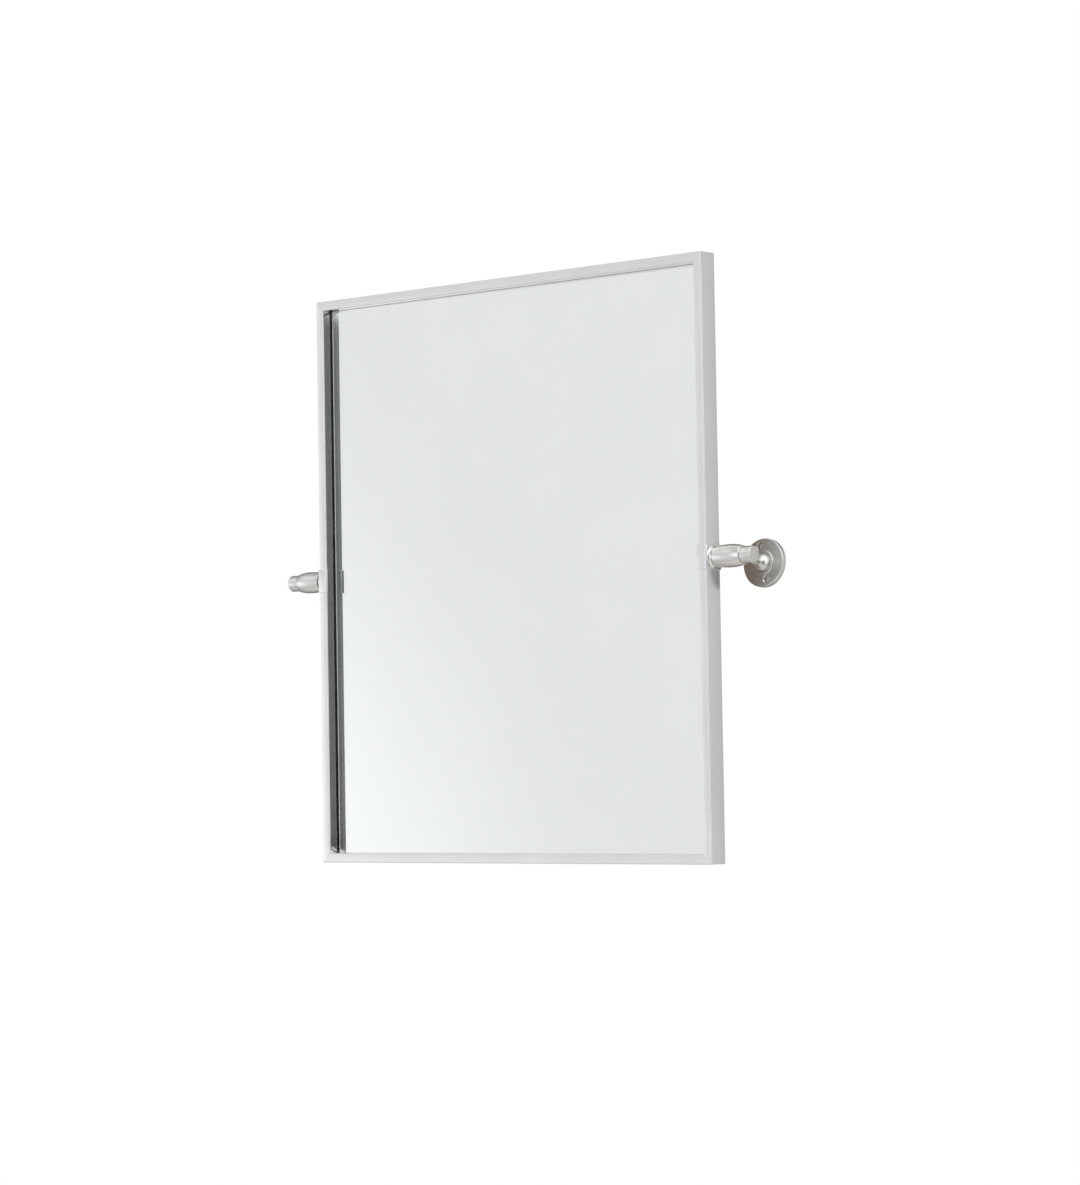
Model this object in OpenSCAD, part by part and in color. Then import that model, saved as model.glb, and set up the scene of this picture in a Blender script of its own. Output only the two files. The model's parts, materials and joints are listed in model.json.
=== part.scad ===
// Pivot wall mirror: a framed glass that tilts between two wall brackets.
// Millimetres. X runs along the tilt axis, +Y points into the wall, +Z is up.
// The origin lies on the tilt axis, midway between the two brackets.
// The brackets are drawn level and square to the wall, and the mirror leans forward.
// The right half of every paired piece is drawn, and the left one mirrors it.

/* [Frame] */
// Outside width of the frame
frame_w = 533; // [430:1:760]
// Outside height of the frame
frame_h = 610; // [480:1:900]
// Depth of the frame, front to back
frame_d = 22; // [21:0.5:25]
// Width of the lip seen from the front
lip_w = 10; // [9.5:0.5:12]
// Wall of the hollow rails
rail_wall = 1.5; // [1.3:0.1:1.6]
// Radius on the two front edges of the lip
lip_edge_r = 0.6; // [0.3:0.1:0.9]
// Depth from the front of the lip to the step that the glass lies against
step_depth = 10; // [9:0.5:11]
// Width of that step
step_w = 3.5; // [3:0.1:4]
// Length of each leg of a corner key
key_leg = 38; // [25:1:60]

/* [Glass and back] */
// Thickness of the black tape between the step and the glass
tape_t = 0.8; // [0.5:0.1:1]
// Thickness of the glass
glass_t = 4; // [3:0.5:4]
// Thickness of the silvering and its paint
silver_t = 0.1; // [0.1:0.05:0.2]
// Thickness of the foam sheet behind the glass
foam_t = 1.2; // [0.8:0.1:1.4]
// Thickness of the backing board
board_t = 3; // [2.5:0.5:3]
// Gap between the glass and the rails, on each side
glass_gap = 1; // [0.5:0.1:1.5]
// Width of a board clip
clip_w = 14; // [10:1:20]
// Height above and below the axis of the inner clips on the side rails
clip_near = 90; // [60:5:110]
// Height above and below the axis of the outer clips on the side rails
clip_far = 205; // [150:5:215]
// Distance of the clips on the top and bottom rails from the middle
clip_top = 130; // [80:5:180]

/* [Saddles] */
// Height of a saddle, which is the strap round the side rail
saddle_h = 25; // [24:0.5:32]
// Thickness of the strap
strap_t = 1.5; // [1.2:0.1:1.6]
// Outer radius of the strap's bends
bend_r = 2; // [1.8:0.1:2.5]
// How far the strap returns into the recess in front of the glass
return_d = 4.5; // [3:0.5:6]
// Height of the neck that stands on the saddle
neck_h = 3.2; // [2.4:0.1:3.2]
// Radius of the neck where it meets the strap
neck_foot_r = 11.5; // [10.4:0.1:11.5]
// How much the neck's radius falls towards its end face
neck_fall = 1.8; // [1.8:0.1:2.8]

/* [Pivot] */
// Radius of the pivot stud's shaft
shaft_r = 5; // [4.8:0.1:5.2]
// Radius of the pivot stud's threads
thread_r = 4; // [3.8:0.1:4.2]
// Radial clearance of the shaft in the bushing
running_gap = 0.05; // [0.02:0.01:0.09]
// Length of the barrel
barrel_len = 33; // [32:0.2:36]
// Distance from the barrel's inner end to its widest point
barrel_peak = 18.4; // [17:0.2:20]
// Radius of the barrel at its inner end
barrel_in_r = 10.4; // [10:0.1:11]
// Radius of the barrel at its widest point
barrel_max_r = 11.6; // [11.2:0.1:12.5]
// Radius of the barrel at its outer end
barrel_out_r = 9.7; // [9.5:0.1:10.5]
// Chamfer on the barrel's two rims
barrel_rim = 0.5; // [0.3:0.1:0.7]
// Thickness of the wall that closes the barrel's inner end
barrel_floor = 8; // [7:0.5:9]
// Radius of the room inside the barrel
barrel_bore_r = 8; // [7.9:0.05:8.2]
// Radius of the cap that closes the barrel's outer end
cap_r = 8.7; // [8.5:0.1:9.2]
// Length of the cap beyond the barrel
cap_len = 13; // [8:0.5:15]
// Radius on the cap's outer edge
cap_edge_r = 1.2; // [0.6:0.1:1.8]
// Angle at which the mirror leans forward, measured from upright
rest_lean = 5.9; // [0:0.1:8]

/* [Wall bracket] */
// Distance from the tilt axis back to the face of the wall plate
plate_face_y = 50.8; // [49:0.1:56]
// Radius of the wall plate
plate_r = 24.6; // [24:0.1:30]
// Thickness of the wall plate
plate_t = 5.4; // [5.2:0.1:8]
// Radius on the front edge of the wall plate
plate_edge_r = 1; // [0.8:0.1:2]
// Outer radius of the raised ring on the wall plate
ring_r = 12.8; // [11.5:0.1:13]
// Height of the raised ring
ring_h = 1.2; // [0.8:0.1:1.6]
// Radius of the dome at the foot of the post
dome_r = 9.2; // [8.8:0.1:9.6]
// Radius of the post
post_r = 3.9; // [3.5:0.1:4.4]
// Radius of the collar where the post meets the barrel
collar_r = 6.6; // [5.5:0.1:7]
// Radius of the hollow between the post and the dome
post_cove_r = 2; // [1:0.1:3]
// Distance between the centres of the two wall screws
screw_pcd = 35; // [34.6:0.2:37]
// Turn of the wall screws away from upright, the upper one towards the mirror
screw_turn = 16.5; // [0:0.5:30]
// Radius of a wall screw's threads
screw_r = 2.1; // [1.9:0.1:2.2]
// Length of full thread that goes into the wall
screw_len = 8.5; // [8:0.5:50]

/* [Hidden] */

$fn = 96;
slack = 0.05;               // air between pieces that are fixed together
cut_over = 1;               // how far a cutter runs past what it cuts
overlap = 0.5;              // how far shapes of one piece run into each other

// Frame
front_y = -frame_d / 2;
back_y = frame_d / 2;
step_y = front_y + step_depth;
leg_w = lip_w - step_w;
half_w = frame_w / 2;
half_h = frame_h / 2;
mitre = 3 * frame_d;
key_gap = 0.2;
chamber_w = lip_w - 2 * rail_wall;
chamber_d = step_depth - 2 * rail_wall;
key_w = chamber_w - 2 * key_gap;
key_d = chamber_d - 2 * key_gap;

// Glass and what is behind it
pane_w = frame_w - 2 * leg_w - 2 * glass_gap;
pane_h = frame_h - 2 * leg_w - 2 * glass_gap;
tape_w = step_w - 0.5;
glass_y = step_y + tape_t;
silver_y = glass_y + glass_t;
foam_y = silver_y + silver_t;
board_y = foam_y + foam_t;
board_back = board_y + board_t;

// Board clips and their countersunk screws
clip_t = 1;
clip_foot = 0.8;            // distance of the foot's edge from the rail's outer face
clip_tongue = 8;            // reach of the tongue over the board
clip_screw_u = 3.6;         // distance of the screw from the rail's outer face
clip_head_r = 2.2;
clip_shank_r = 1.2;
clip_screw_len = 3.4;
clip_recess = 0.7;          // depth of a clip screw's cross recess

// Saddle, stud plate and screws
strap_x = half_w + strap_t;
strap_front = front_y - strap_t;
strap_back = back_y + strap_t;
neck_x = strap_x + neck_h;
neck_cove = min(neck_fall, neck_h);
neck_end_r = neck_foot_r - neck_cove;
neck_step = 0.6;            // depth of neck left below the stud's shoulder
nut_plate_t = 3;
nut_plate_d = frame_d - 5;
nut_plate_h = 34;
web_cut_h = nut_plate_h + 6;
stud_hole_r = thread_r + 0.3;
saddle_screw_z = 8.5;
saddle_screw_x = half_w - leg_w / 2;
saddle_screw_r = 1.4;
saddle_screw_len = 3;
saddle_head_r = 2.6;
saddle_head_h = 1.6;
saddle_top_r = saddle_head_r - saddle_head_h / 3;

// Pivot, listed outwards from the saddle
washer_t = 0.8;
washer_r = neck_end_r - 0.5;
barrel_x = neck_x + washer_t;
barrel_end = barrel_x + barrel_len;
peak_x = barrel_x + barrel_peak;
floor_x = barrel_x + barrel_floor;
bushing_r = 6.5;
thrust_t = 1.2;
thrust_r = barrel_bore_r - 0.4;
thrust_x = floor_x + thrust_t;
shaft_end = thrust_x - 0.4;
cup_t = 0.8;                // thickness of one spring washer
cup_rise = 0.5;             // height of its cone
cup_h = cup_t + cup_rise;
cup_hole_r = thread_r + 0.15;
nut_x = thrust_x + 2 * cup_h;
nut_r = 7.5;
nut_h = 6.5;
nut_collar_r = 6;
nut_collar_h = 1.5;
stud_end = nut_x + nut_h + nut_collar_h + 1.5;
stud_inner = half_w - rail_wall - nut_plate_t;
cap_end = barrel_end + cap_len;
spigot_len = 8.5;
spigot_x = barrel_end - spigot_len;
set_screw_x = barrel_end - spigot_len / 2;
set_screw_r = 1.5;
set_screw_len = 3;
set_screw_seat = 0.8;       // how far the set screw enters the cap's spigot
set_hex_r = 0.87;
set_hex_depth = 1.3;

// Post, which stands square to the wall behind the barrel's widest point
post_x = peak_x;
post_pin_r = 3;
post_pin_start = barrel_bore_r + 0.2;
post_pin_len = 6;
collar_end = barrel_max_r + 2;
collar_cove_r = collar_r - post_r;
post_cove_y = plate_face_y - sqrt(pow(dome_r + post_cove_r, 2) - pow(post_r + post_cove_r, 2));
post_end = plate_face_y - (plate_face_y - post_cove_y) * dome_r / (dome_r + post_cove_r);
post_end_r = (post_r + post_cove_r) * dome_r / (dome_r + post_cove_r);
dome_seat = 1.5;            // how far the dome sits into the plate

// Wall plate and screws
wall_y = plate_face_y + plate_t;
seat_r = dome_r + 0.1;
ring_edge_r = 0.9;
post_screw_r = 2.5;
post_screw_head_r = 4.25;
post_screw_head_h = 2.4;
post_screw_depth = 7;       // thread inside the dome
post_hole_depth = post_screw_depth + 1;
post_hole_r = post_screw_r + 0.2;
post_hex_r = 1.73;
post_hex_depth = 1.4;
pocket_r = 4.7;
pocket_d = 2.8;
screw_head_r = 3.5;
countersink_r = 4.2;        // at the plate's face, with sides at 45 degrees
screw_sink = 0.63;          // how far a wall screw's head lies below the face
screw_neck_r = 1.7;         // shank inside the plate
screw_cone = screw_head_r - screw_neck_r;
screw_hole_r = 2.4;
sink_depth = countersink_r - screw_hole_r;
screw_tip = 4.5;
recess_w = 0.9;             // width of one slot of the cross recess
recess_len = 4.2;
recess_depth = 1.4;

// ---- Helpers ----

// Radius of the arc that drops by a given amount over a given run
function arc_r(run, drop) = (run * run + drop * drop) / (2 * drop);

// Stands what is drawn round Z along the X axis
module along_x() {
    rotate([0, 90, 0])
        children();
}

// Stands what is drawn round Z along the Y axis, +Z becoming +Y
module along_y() {
    rotate([-90, 0, 0])
        children();
}

// Draws a right-hand piece and its left-hand mirror image together
module both_sides() {
    children();
    mirror([1, 0, 0])
        children();
}

// Leans what belongs to the mirror forward about the tilt axis
module leaned() {
    rotate([rest_lean, 0, 0])
        children();
}

// Ring between two radii, along X from x0 to x1
module tube_x(x0, x1, r_in, r_out) {
    translate([x0, 0, 0])
        along_x()
            difference() {
                cylinder(h = x1 - x0, r = r_out);
                translate([0, 0, -cut_over])
                    cylinder(h = x1 - x0 + 2 * cut_over, r = r_in);
            }
}

// Plain round bar along X from x0 to x1
module bar_x(x0, x1, r) {
    translate([x0, 0, 0])
        along_x()
            cylinder(h = x1 - x0, r = r);
}

// Two crossed slots, cut downwards from the top of a screw head
module cross_recess(length, width, depth) {
    for (turn = [0, 90])
        rotate([0, 0, turn])
            translate([-length / 2, -width / 2, 0])
                cube([length, width, depth]);
}

// ---- Rails ----

// Outline of the rail: x is the distance in from its outer face, y the depth
module rail_outline() {
    difference() {
        union() {
            translate([0, front_y + lip_edge_r])
                square([lip_w, step_depth - lip_edge_r]);
            translate([lip_edge_r, front_y])
                square([lip_w - 2 * lip_edge_r, lip_edge_r]);
            for (x = [lip_edge_r, lip_w - lip_edge_r])
                translate([x, front_y + lip_edge_r])
                    circle(r = lip_edge_r);
            translate([0, step_y - cut_over])
                square([leg_w, back_y - step_y + cut_over]);
        }
        translate([rail_wall, front_y + rail_wall])
            square([chamber_w, chamber_d]);
        translate([rail_wall, step_y])
            square([leg_w - 2 * rail_wall, back_y - rail_wall - step_y]);
    }
}

// Half space beyond the 45 degree mitre at the rail's upper end
module mitre_cutter(length) {
    translate([0, 0, length / 2])
        rotate([0, 45, 0])
            translate([-mitre, -mitre, 0])
                cube([2 * mitre, 2 * mitre, mitre]);
}

// Upright rail with its outer face at x = 0 and both ends mitred
module rail(length) {
    difference() {
        linear_extrude(height = length, center = true)
            rail_outline();
        mitre_cutter(length);
        mirror([0, 0, 1])
            mitre_cutter(length);
    }
}

// Pilot hole for a board clip's screw, in the rail's back wall
module clip_pilot(place) {
    translate([clip_screw_u, back_y - rail_wall - cut_over, place])
        along_y()
            cylinder(h = rail_wall + 2 * cut_over, r = clip_shank_r + slack, $fn = 32);
}

// Side rail as seen at x = 0, with the holes and the room for the pivot stud
module side_rail() {
    difference() {
        rail(frame_h);
        for (place = [-clip_far, -clip_near, clip_near, clip_far])
            clip_pilot(place);
        translate([rail_wall, step_y - rail_wall - slack, -web_cut_h / 2])
            cube([leg_w - 2 * rail_wall, rail_wall + 2 * slack, web_cut_h]);
        translate([-cut_over, 0, 0])
            along_x()
                cylinder(h = rail_wall + 2 * cut_over, r = stud_hole_r);
        for (side = [-1, 1])
            translate([leg_w / 2, back_y - rail_wall - cut_over, side * saddle_screw_z])
                along_y()
                    cylinder(h = rail_wall + 2 * cut_over, r = saddle_screw_r + slack, $fn = 32);
    }
}

module right_rail() {
    color("silver")
        leaned()
            mirror([1, 0, 0])
                translate([-half_w, 0, 0])
                    side_rail();
}

module left_rail() {
    color("silver")
        leaned()
            translate([-half_w, 0, 0])
                side_rail();
}

// Top rail, lying along X with its outer face up
module cross_rail() {
    translate([0, 0, half_h])
        rotate([0, 90, 0])
            difference() {
                rail(frame_w);
                for (place = [-clip_top, clip_top])
                    clip_pilot(place);
            }
}

module top_rail() {
    color("silver")
        leaned()
            cross_rail();
}

module bottom_rail() {
    color("silver")
        leaned()
            mirror([0, 0, 1])
                cross_rail();
}

// Angle pressed into the front chambers of two rails at the top right corner
module corner_key() {
    inset = rail_wall + key_gap;
    color("darkgray")
        translate([half_w - inset, front_y + inset, half_h - inset])
            difference() {
                translate([-key_leg, 0, -key_leg])
                    cube([key_leg, key_d, key_leg]);
                translate([-key_leg - cut_over, -cut_over, -key_leg - cut_over])
                    cube([key_leg - key_w + cut_over, key_d + 2 * cut_over, key_leg - key_w + cut_over]);
            }
}

module top_right_corner_key() {
    leaned()
        corner_key();
}

module top_left_corner_key() {
    leaned()
        mirror([1, 0, 0])
            corner_key();
}

module bottom_right_corner_key() {
    leaned()
        mirror([0, 0, 1])
            corner_key();
}

module bottom_left_corner_key() {
    leaned()
        mirror([1, 0, 0])
            mirror([0, 0, 1])
                corner_key();
}

// ---- Glass, tape, foam, board and clips ----

// Flat sheet the size of the glass
module sheet(y, thickness) {
    leaned()
        translate([-pane_w / 2, y, -pane_h / 2])
            cube([pane_w, thickness, pane_h]);
}

module mirror_glass() {
    color([0.75, 0.85, 0.84, 0.5])
        sheet(glass_y, glass_t);
}

module silvering() {
    color("gainsboro")
        sheet(silver_y, silver_t);
}

module foam_sheet() {
    color("whitesmoke")
        sheet(foam_y, foam_t);
}

module backing_board() {
    color("tan")
        sheet(board_y, board_t);
}

// Black tape on the step of a side rail
module side_tape() {
    color("black")
        translate([half_w - lip_w, step_y, -half_h + lip_w])
            cube([tape_w, tape_t, frame_h - 2 * lip_w]);
}

module right_glazing_tape() {
    leaned()
        side_tape();
}

module left_glazing_tape() {
    leaned()
        mirror([1, 0, 0])
            side_tape();
}

module cross_tape() {
    color("black")
        translate([-half_w + lip_w - tape_w, step_y, half_h - lip_w])
            cube([frame_w - 2 * lip_w + 2 * tape_w, tape_t, tape_w]);
}

module top_glazing_tape() {
    leaned()
        cross_tape();
}

module bottom_glazing_tape() {
    leaned()
        mirror([0, 0, 1])
            cross_tape();
}

// Z-shaped clip: a foot on the rail's back, a step down and a tongue on the board
module clip() {
    translate([0, 0, -clip_w / 2])
        difference() {
            union() {
                translate([clip_foot, back_y, 0])
                    cube([leg_w + clip_t - clip_foot, clip_t, clip_w]);
                translate([leg_w, board_back, 0])
                    cube([clip_t, back_y + clip_t - board_back, clip_w]);
                translate([leg_w, board_back, 0])
                    cube([clip_tongue, clip_t, clip_w]);
            }
            translate([clip_screw_u, back_y, clip_w / 2])
                along_y() {
                    cylinder(h = clip_t, r1 = clip_shank_r + slack, r2 = clip_head_r + slack, $fn = 48);
                    translate([0, 0, -cut_over])
                        cylinder(h = clip_t + cut_over, r = clip_shank_r + slack, $fn = 48);
                }
        }
}

// Countersunk screw, flush with the clip
module clip_screw() {
    translate([clip_screw_u, back_y + clip_t, 0])
        along_y()
            difference() {
                union() {
                    translate([0, 0, -clip_t])
                        cylinder(h = clip_t, r1 = clip_shank_r, r2 = clip_head_r, $fn = 48);
                    translate([0, 0, -clip_screw_len])
                        cylinder(h = clip_screw_len - clip_t + slack, r = clip_shank_r, $fn = 48);
                }
                translate([0, 0, -clip_recess])
                    cross_recess(2 * clip_shank_r, clip_recess / 2, 2 * clip_recess);
            }
}

// Puts a piece drawn on a rail's back at every clip's place
module at_clips() {
    for (place = [-clip_far, -clip_near, clip_near, clip_far])
        both_sides()
            translate([-half_w, 0, place])
                children();
    for (place = [-clip_top, clip_top])
        for (flip = [0, 1])
            mirror([0, 0, flip])
                translate([place, 0, half_h])
                    rotate([0, 90, 0])
                        children();
}

module board_clips() {
    color("lightsteelblue")
        leaned()
            at_clips()
                clip();
}

module clip_screws() {
    color("dimgray")
        leaned()
            at_clips()
                clip_screw();
}

// ---- Saddles and their screws ----

// Outline of the strap round the right rail, seen from above: x and y as in the model
module strap_outline() {
    inner_x = half_w - lip_w - strap_t;
    hook_x = half_w - leg_w;
    difference() {
        union() {
            translate([inner_x, strap_front])
                square([strap_x - inner_x - bend_r, strap_t]);
            translate([inner_x, strap_front])
                square([strap_t, strap_t + return_d]);
            translate([half_w, strap_front + bend_r])
                square([strap_t, strap_back - strap_front - 2 * bend_r]);
            translate([hook_x, back_y])
                square([strap_x - hook_x - bend_r, strap_t]);
            for (y = [strap_front + bend_r, strap_back - bend_r])
                translate([strap_x - bend_r, y])
                    circle(r = bend_r);
        }
        translate([half_w - lip_w, front_y])
            square([lip_w, frame_d]);
    }
}

// Concave neck from the strap out to the washer, as a radius over a height
module neck_outline() {
    cove_r = arc_r(neck_h, neck_cove);
    difference() {
        translate([0, -slack])
            square([neck_foot_r, neck_h + slack]);
        translate([neck_end_r + cove_r, neck_h])
            circle(r = cove_r);
    }
}

module saddle() {
    color("lightgray")
        difference() {
            union() {
                linear_extrude(height = saddle_h, center = true)
                    strap_outline();
                translate([strap_x, 0, 0])
                    along_x()
                        rotate_extrude()
                            neck_outline();
            }
            bar_x(half_w - cut_over, neck_x + cut_over, thread_r + slack);
            bar_x(strap_x + neck_step, neck_x + cut_over, shaft_r + slack);
            for (side = [-1, 1])
                translate([saddle_screw_x, back_y - cut_over, side * saddle_screw_z])
                    along_y()
                        cylinder(h = strap_t + 2 * cut_over, r = saddle_screw_r + slack, $fn = 32);
        }
}

module right_saddle() {
    leaned()
        saddle();
}

module left_saddle() {
    leaned()
        mirror([1, 0, 0])
            saddle();
}

// Pan head screw through the strap into the rail's back wall
module saddle_screw() {
    along_y()
        difference() {
            union() {
                translate([0, 0, -saddle_screw_len])
                    cylinder(h = saddle_screw_len + slack, r = saddle_screw_r, $fn = 48);
                cylinder(h = saddle_head_h, r1 = saddle_head_r, r2 = saddle_top_r, $fn = 48);
            }
            translate([0, 0, saddle_head_h / 2])
                cross_recess(saddle_head_r, recess_w * 2 / 3, saddle_head_h);
        }
}

module saddle_screws() {
    color("gray")
        leaned()
            both_sides()
                for (side = [-1, 1])
                    translate([saddle_screw_x, strap_back, side * saddle_screw_z])
                        saddle_screw();
}

// Tapped plate inside the side rail, which the pivot stud screws into
module nut_plate() {
    color("slategray")
        difference() {
            translate([stud_inner, -nut_plate_d / 2, -nut_plate_h / 2])
                cube([nut_plate_t, nut_plate_d, nut_plate_h]);
            bar_x(stud_inner - cut_over, stud_inner + nut_plate_t + cut_over, thread_r + slack);
        }
}

module right_nut_plate() {
    leaned()
        nut_plate();
}

module left_nut_plate() {
    leaned()
        mirror([1, 0, 0])
            nut_plate();
}

// ---- Pivot ----

// Shoulder stud: thread into the plate, shaft in the bushing, thread for the nut
module pivot_stud() {
    color("darkgray")
        union() {
            bar_x(stud_inner, strap_x + neck_step + slack, thread_r);
            bar_x(strap_x + neck_step, shaft_end, shaft_r);
            bar_x(shaft_end - slack, stud_end, thread_r);
        }
}

module right_pivot_stud() {
    pivot_stud();
}

module left_pivot_stud() {
    mirror([1, 0, 0])
        pivot_stud();
}

module thrust_washer() {
    color("silver")
        tube_x(floor_x, thrust_x, shaft_r + slack, thrust_r);
}

module right_thrust_washer() {
    thrust_washer();
}

module left_thrust_washer() {
    mirror([1, 0, 0])
        thrust_washer();
}

// Section of a cone-shaped spring washer, as radius and height
module cup_outline() {
    polygon([
        [cup_hole_r, cup_rise],
        [thrust_r, 0],
        [thrust_r, cup_t],
        [cup_hole_r, cup_rise + cup_t]
    ]);
}

// Two spring washers, rim to rim
module spring_washers() {
    color("steelblue") {
        translate([thrust_x + cup_h, 0, 0])
            along_x()
                rotate_extrude()
                    cup_outline();
        translate([thrust_x + cup_h, 0, 0])
            mirror([1, 0, 0])
                along_x()
                    rotate_extrude()
                        cup_outline();
    }
}

module right_spring_washers() {
    spring_washers();
}

module left_spring_washers() {
    mirror([1, 0, 0])
        spring_washers();
}

// Self-locking nut that sets the pivot's friction
module lock_nut() {
    color("gray")
        difference() {
            union() {
                translate([nut_x, 0, 0])
                    along_x()
                        cylinder(h = nut_h, r = nut_r, $fn = 6);
                bar_x(nut_x + nut_h - slack, nut_x + nut_h + nut_collar_h, nut_collar_r);
            }
            bar_x(nut_x - cut_over, nut_x + nut_h + nut_collar_h + cut_over, thread_r + slack);
        }
}

module right_lock_nut() {
    leaned()
        lock_nut();
}

module left_lock_nut() {
    leaned()
        mirror([1, 0, 0])
            lock_nut();
}

module friction_washer() {
    color("ivory")
        tube_x(neck_x, barrel_x, shaft_r + slack, washer_r);
}

module right_friction_washer() {
    friction_washer();
}

module left_friction_washer() {
    mirror([1, 0, 0])
        friction_washer();
}

module bushing() {
    color("ivory")
        tube_x(barrel_x, floor_x, shaft_r + running_gap, bushing_r);
}

module right_bushing() {
    bushing();
}

module left_bushing() {
    mirror([1, 0, 0])
        bushing();
}

// One side of the barrel's bulge: a disc cut off at the widest point
module bulge(run, drop, side) {
    big_r = arc_r(run, drop);
    intersection() {
        translate([barrel_max_r - big_r, barrel_peak])
            circle(r = big_r, $fn = 360);
        translate([0, side > 0 ? barrel_peak : 0])
            square([barrel_max_r + cut_over, side > 0 ? barrel_len - barrel_peak : barrel_peak]);
    }
}

// Section of the barrel's outside, as a radius over the distance from its inner end
module barrel_outline() {
    inner_drop = barrel_max_r - barrel_in_r;
    outer_drop = barrel_max_r - barrel_out_r;
    intersection() {
        union() {
            bulge(barrel_peak, inner_drop, -1);
            bulge(barrel_len - barrel_peak, outer_drop, 1);
        }
        polygon([
            [0, 0],
            [barrel_in_r - barrel_rim, 0],
            [barrel_in_r + barrel_max_r, barrel_max_r + barrel_rim],
            [barrel_out_r + barrel_max_r, barrel_len - barrel_max_r - barrel_rim],
            [barrel_out_r - barrel_rim, barrel_len],
            [0, barrel_len]
        ]);
    }
}

module barrel() {
    color("silver")
        difference() {
            translate([barrel_x, 0, 0])
                along_x()
                    rotate_extrude()
                        barrel_outline();
            bar_x(barrel_x - cut_over, floor_x + cut_over, bushing_r);
            bar_x(floor_x, barrel_end + cut_over, barrel_bore_r);
            translate([set_screw_x, 0, -barrel_max_r - cut_over])
                cylinder(h = barrel_max_r - barrel_bore_r / 2, r = set_screw_r + slack, $fn = 32);
            on_post(barrel_bore_r / 2)
                cylinder(h = barrel_max_r, r = post_pin_r + slack);
        }
}

module right_barrel() {
    barrel();
}

module left_barrel() {
    mirror([1, 0, 0])
        barrel();
}

// ---- End cap, post and wall plate ----

// Section of the end cap: its spigot in the barrel, and the part that shows
module cap_outline() {
    spigot_r = barrel_bore_r - slack;
    square([spigot_r, spigot_len + cut_over]);
    translate([0, spigot_len])
        square([cap_r, cap_len - cap_edge_r]);
    translate([0, spigot_len])
        square([cap_r - cap_edge_r, cap_len]);
    translate([cap_r - cap_edge_r, spigot_len + cap_len - cap_edge_r])
        circle(r = cap_edge_r, $fn = 48);
}

module end_cap() {
    color("silver")
        difference() {
            translate([spigot_x, 0, 0])
                along_x()
                    rotate_extrude()
                        cap_outline();
            translate([set_screw_x, 0, -barrel_bore_r - cut_over])
                cylinder(h = set_screw_seat + cut_over, r = set_screw_r + slack, $fn = 32);
        }
}

module right_end_cap() {
    end_cap();
}

module left_end_cap() {
    mirror([1, 0, 0])
        end_cap();
}

// Set screw under the barrel that holds the end cap in it
module set_screw() {
    translate([set_screw_x, 0, -barrel_bore_r + set_screw_seat - set_screw_len])
        difference() {
            cylinder(h = set_screw_len, r = set_screw_r, $fn = 32);
            translate([0, 0, -cut_over])
                cylinder(h = set_hex_depth + cut_over, r = set_hex_r, $fn = 6);
        }
}

module cap_set_screws() {
    color("dimgray")
        both_sides()
            set_screw();
}

// Moves what is drawn upwards from the origin onto the post's axis, a distance behind the tilt axis
module on_post(distance) {
    translate([post_x, distance, 0])
        along_y()
            children();
}

// Section of the post from the tilt axis to the dome: collar, hollow, shaft and hollow
module post_outline() {
    difference() {
        square([collar_r, collar_end + collar_cove_r]);
        translate([collar_r, collar_end + collar_cove_r])
            circle(r = collar_cove_r);
    }
    square([post_r, post_end]);
    difference() {
        translate([0, post_cove_y])
            square([post_end_r, post_end - post_cove_y + overlap]);
        translate([post_r + post_cove_r, post_cove_y])
            circle(r = post_cove_r);
    }
}

module post() {
    color("silver")
        difference() {
            union() {
                difference() {
                    on_post(0)
                        rotate_extrude()
                            post_outline();
                    translate([barrel_x, 0, 0])
                        along_x()
                            rotate_extrude()
                                barrel_outline();
                }
                on_post(post_pin_start)
                    cylinder(h = post_pin_len, r = post_pin_r);
                intersection() {
                    on_post(plate_face_y)
                        sphere(r = dome_r);
                    translate([post_x - plate_r, 0, -plate_r])
                        cube([2 * plate_r, plate_face_y + dome_seat, 2 * plate_r]);
                }
            }
            on_post(plate_face_y + dome_seat - post_hole_depth)
                cylinder(h = post_hole_depth + cut_over, r = post_screw_r + slack, $fn = 48);
        }
}

module right_post() {
    post();
}

module left_post() {
    mirror([1, 0, 0])
        post();
}

// Section of the wall plate: a radius over the distance out from the wall
module plate_outline() {
    ring_top = plate_t + ring_h;
    square([plate_r, plate_t - plate_edge_r]);
    square([plate_r - plate_edge_r, plate_t]);
    translate([plate_r - plate_edge_r, plate_t - plate_edge_r])
        circle(r = plate_edge_r, $fn = 48);
    square([ring_r, ring_top - ring_edge_r]);
    square([ring_r - ring_edge_r, ring_top]);
    translate([ring_r - ring_edge_r, ring_top - ring_edge_r])
        circle(r = ring_edge_r, $fn = 48);
}

// Turns what is drawn upwards from the origin into something standing out of the wall
module on_plate() {
    translate([post_x, wall_y, 0])
        rotate([90, 0, 0])
            children();
}

// Puts a piece at both wall screws, drawn from the plate's face downwards
module at_wall_screws() {
    for (turn = [screw_turn, screw_turn + 180])
        on_plate()
            rotate([0, 0, turn])
                translate([0, screw_pcd / 2, plate_t])
                    children();
}

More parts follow.
